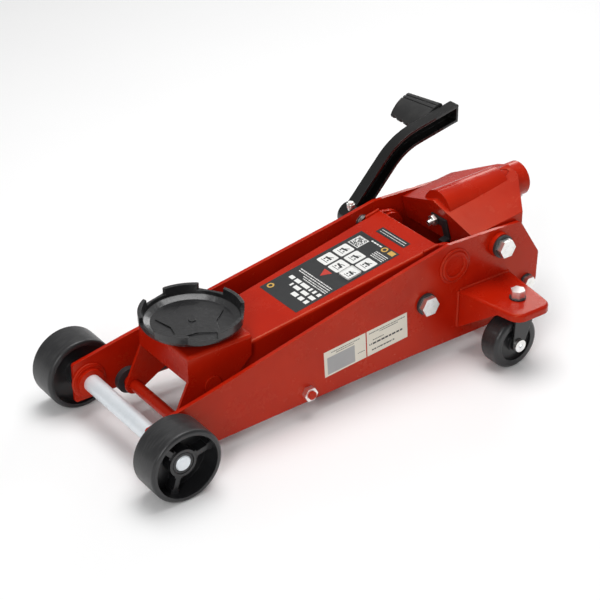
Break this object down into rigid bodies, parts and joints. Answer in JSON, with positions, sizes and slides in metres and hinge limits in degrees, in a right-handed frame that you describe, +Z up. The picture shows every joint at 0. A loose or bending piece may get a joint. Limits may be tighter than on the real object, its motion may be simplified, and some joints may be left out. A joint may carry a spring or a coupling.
{
  "type": "hydraulic garage jack",
  "caption": "Low wheeled hydraulic floor jack with a lift arm, turning saddle, handle socket, swivel casters and a foot pedal.",
  "frame": {"origin": "on the floor under the middle of the jack's overall box", "axes": "+X towards the handle end, +Y to the right of a person at the handle, +Z up"},
  "size_m": [0.7108, 0.37, 0.2728],
  "materials": {
    "red_paint": "gloss enamel",
    "zinc_plate": "bright zinc",
    "dark_steel": "black oxide",
    "plain_steel": "turned",
    "spring_steel": "oiled",
    "black_cast": "black enamel over casting",
    "black_paint": "gloss enamel",
    "black_nylon": "moulded nylon",
    "black_rubber": "ribbed rubber"
  },
  "bodies": {
    "frame": {"axle_bosses": "red_paint", "caster_bearings": "dark_steel", "caster_bracket_left": "red_paint", "caster_bracket_right": "red_paint", "cross_members": "red_paint", "filler_plug": "zinc_plate", "front_axle": "zinc_plate", "kingpins": "zinc_plate", "link_anchor_bolts": "zinc_plate", "pedal_bearing": "plain_steel", "pedal_spring": "spring_steel", "pivot_stubs": "red_paint", "plate_rings": "red_paint", "plate_washers": "dark_steel", "power_unit": "black_paint", "pump_spring": "spring_steel", "ram_cylinder": "black_paint", "side_plate_left": "red_paint", "side_plate_right": "red_paint", "socket_pivot_bolts": "zinc_plate", "tie_rod": "red_paint", "tie_rod_nuts": "zinc_plate", "unit_bolts": "zinc_plate", "wheel_washers": "dark_steel"},
    "lift_arm": {"lift_arm": "red_paint", "drive_pin": "plain_steel", "front_pin": "red_paint", "pin_spacers": "dark_steel"},
    "saddle_bracket": {"saddle_bracket": "red_paint", "bracket_rod": "red_paint"},
    "saddle": {"saddle": "black_cast", "saddle_ring": "dark_steel"},
    "levelling_link_left": {"levelling_link_left": "dark_steel"},
    "levelling_link_right": {"levelling_link_right": "dark_steel"},
    "ram": {"ram": "plain_steel", "ram_head": "black_paint"},
    "handle_socket": {"socket_yoke": "red_paint", "socket_tube": "red_paint", "cross_shaft": "plain_steel", "pump_roller": "plain_steel", "handle_clamp": "zinc_plate"},
    "release_linkage": {"release_stud": "zinc_plate", "release_fork": "dark_steel"},
    "release_valve": {"release_valve": "dark_steel"},
    "pump_plunger": {"pump_plunger": "plain_steel"},
    "pedal": {"pedal_arm": "black_paint", "pedal_hub": "black_paint", "pedal_bolt": "zinc_plate", "pedal_shaft": "plain_steel", "foot_plate": "black_paint", "pedal_pad": "black_rubber"},
    "front_wheel_left": {"front_wheel_left": "black_cast"},
    "caster_fork_left": {"caster_fork_left": "black_paint", "caster_axle_left": "zinc_plate"},
    "caster_wheel_left": {"caster_wheel_left": "black_nylon"},
    "front_wheel_right": {"front_wheel_right": "black_cast"},
    "caster_fork_right": {"caster_fork_right": "black_paint", "caster_axle_right": "zinc_plate"},
    "caster_wheel_right": {"caster_wheel_right": "black_nylon"}
  },
  "joints": [
    {"name": "arm_lift", "type": "hinge", "parent": "frame", "child": "lift_arm", "pos_m": [0.16656, 0, 0.14], "axis": [0, 1, 0], "range_deg": [0, 52]},
    {"name": "bracket_level", "type": "hinge", "parent": "lift_arm", "child": "saddle_bracket", "pos_m": [-0.20844, 0, 0.083], "axis": [0, 1, 0], "range_deg": [-52, 0]},
    {"name": "saddle_turn", "type": "hinge", "parent": "saddle_bracket", "child": "saddle", "pos_m": [-0.19844, 0, 0.134], "axis": [0, 0, 1], "continuous": true},
    {"name": "ram_stroke", "type": "slide", "parent": "frame", "child": "ram", "axis": [-1, 0, 0], "range_m": [0, 0.06139]},
    {"name": "socket_tilt", "type": "hinge", "parent": "frame", "child": "handle_socket", "pos_m": [0.24556, 0, 0.148], "axis": [0, -1, 0], "range_deg": [0, 60]},
    {"name": "pump_stroke", "type": "slide", "parent": "frame", "child": "pump_plunger", "axis": [0, 0, 1], "range_m": [0, 0.02402], "deforming": ["pump_spring"]},
    {"name": "release_turn", "type": "hinge", "parent": "handle_socket", "child": "release_linkage", "pos_m": [0.20472, 0, 0.166], "axis": [0.9604, 0, 0.2785], "range_deg": [0, 90]},
    {"name": "valve_turn", "type": "hinge", "parent": "frame", "child": "release_valve", "pos_m": [0.25456, -0.036, 0.092], "axis": [1, 0, 0], "range_deg": [0, 90]},
    {"name": "pedal_press", "type": "hinge", "parent": "frame", "child": "pedal", "pos_m": [0.13456, 0.087, 0.149], "axis": [0, 1, 0], "range_deg": [0, 25], "stiffness_Nm_per_rad": 8, "springref_deg": -22.92, "deforming": ["pedal_spring"]},
    {"name": "link_swing_left", "type": "hinge", "parent": "frame", "child": "levelling_link_left", "pos_m": [0.11856, -0.0665, 0.098], "axis": [0, 1, 0], "range_deg": [0, 52]},
    {"name": "front_wheel_spin_left", "type": "hinge", "parent": "frame", "child": "front_wheel_left", "pos_m": [-0.30544, -0.15, 0.05], "axis": [0, 1, 0], "continuous": true},
    {"name": "caster_swivel_left", "type": "hinge", "parent": "frame", "child": "caster_fork_left", "pos_m": [0.22806, -0.145, 0.098], "axis": [0, 0, 1], "continuous": true},
    {"name": "caster_spin_left", "type": "hinge", "parent": "caster_fork_left", "child": "caster_wheel_left", "pos_m": [0.21606, -0.145, 0.038], "axis": [0, 1, 0], "continuous": true},
    {"name": "link_swing_right", "type": "hinge", "parent": "frame", "child": "levelling_link_right", "pos_m": [0.11856, 0.0665, 0.098], "axis": [0, 1, 0], "range_deg": [0, 52]},
    {"name": "front_wheel_spin_right", "type": "hinge", "parent": "frame", "child": "front_wheel_right", "pos_m": [-0.30544, 0.15, 0.05], "axis": [0, 1, 0], "continuous": true},
    {"name": "caster_swivel_right", "type": "hinge", "parent": "frame", "child": "caster_fork_right", "pos_m": [0.22806, 0.145, 0.098], "axis": [0, 0, 1], "continuous": true},
    {"name": "caster_spin_right", "type": "hinge", "parent": "caster_fork_right", "child": "caster_wheel_right", "pos_m": [0.21606, 0.145, 0.038], "axis": [0, 1, 0], "continuous": true}
  ],
  "couplings": [
    {"joint": "bracket_level", "follows": "arm_lift", "ratio": -1},
    {"joint": "ram_stroke", "follows": "arm_lift", "m_per_rad": 0.067622},
    {"joint": "link_swing_left", "follows": "arm_lift", "ratio": 1},
    {"joint": "link_swing_right", "follows": "arm_lift", "ratio": 1},
    {"joint": "pump_stroke", "follows": "socket_tilt", "m_per_rad": 0.022918},
    {"joint": "valve_turn", "follows": "release_turn", "ratio": 1}
  ]
}
